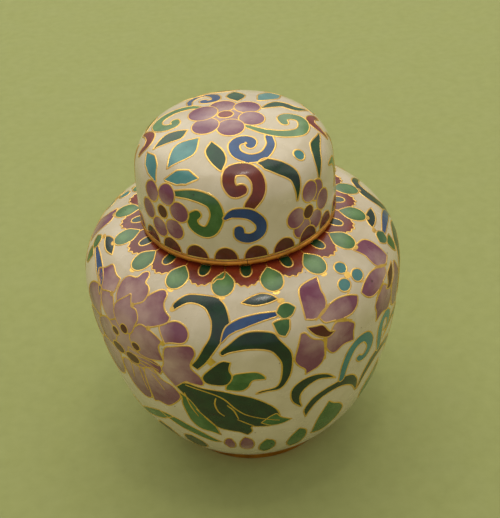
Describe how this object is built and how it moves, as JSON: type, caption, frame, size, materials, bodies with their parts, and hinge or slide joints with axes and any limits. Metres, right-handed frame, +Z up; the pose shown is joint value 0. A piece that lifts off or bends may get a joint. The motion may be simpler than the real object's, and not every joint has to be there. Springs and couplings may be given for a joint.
{
  "type": "ginger jar",
  "caption": "Small round-shouldered lidded jar in cloisonne enamel: wired floral cells over copper, gilt neck, rim and foot rings, and a domed cap lid that lifts off the neck.",
  "frame": {"origin": "centre of the foot ring's lower face, on the surface it stands on", "axes": "+Z up along the axis of the jar and lid; -Y is the front"},
  "size_m": [0.076, 0.076, 0.0889],
  "materials": {
    "white_enamel": "polished cream-white enamel ground, glossy with fine pits",
    "brick_enamel": "polished brick-red enamel",
    "dark_green_enamel": "polished dark green enamel",
    "light_green_enamel": "polished light green enamel",
    "turquoise_enamel": "polished turquoise enamel",
    "cobalt_enamel": "polished blue enamel",
    "mauve_enamel": "polished mauve enamel, paler in the middle of each petal",
    "counter_enamel": "plain turquoise-blue counter-enamel, fire-polished",
    "gilt_wire": "gilt copper wire, polished flush with the enamel",
    "gilt_brass": "gilt metal ring, softly polished and a little worn",
    "copper": "raised copper sheet, hidden between the enamels"
  },
  "bodies": {
    "jar": {"belly_shell": "copper", "shoulder_shell": "copper", "base_plate": "copper", "neck_ring": "gilt_brass", "foot_ring": "gilt_brass", "inner_enamel": "counter_enamel", "base_enamel": "counter_enamel", "jar_ground": "white_enamel", "neck_border_wire": "gilt_wire", "foot_border_wire": "gilt_wire", "collar_band": "brick_enamel", "collar_leaves": "light_green_enamel", "collar_eyes": "dark_green_enamel", "collar_wires": "gilt_wire", "peony_petals": "mauve_enamel", "peony_seeds": "brick_enamel", "blossom_petals": "mauve_enamel", "berries": "turquoise_enamel", "jar_leaves": "dark_green_enamel", "jar_wires": "gilt_wire"},
    "lid": {"lid_shell": "copper", "lid_rim": "gilt_brass", "lid_inner_enamel": "counter_enamel", "lid_ground": "white_enamel", "lid_scallops": "brick_enamel", "lid_top_petals": "mauve_enamel", "lid_top_centre": "brick_enamel", "lid_side_petals": "mauve_enamel", "lid_side_centres": "brick_enamel", "lid_scrolls": "cobalt_enamel", "lid_leaves": "dark_green_enamel", "lid_wires": "gilt_wire"}
  },
  "joints": [
    {"name": "lid_lift", "type": "slide", "parent": "jar", "child": "lid", "axis": [0, 0, 1], "range_m": [0, 0.05]}
  ]
}
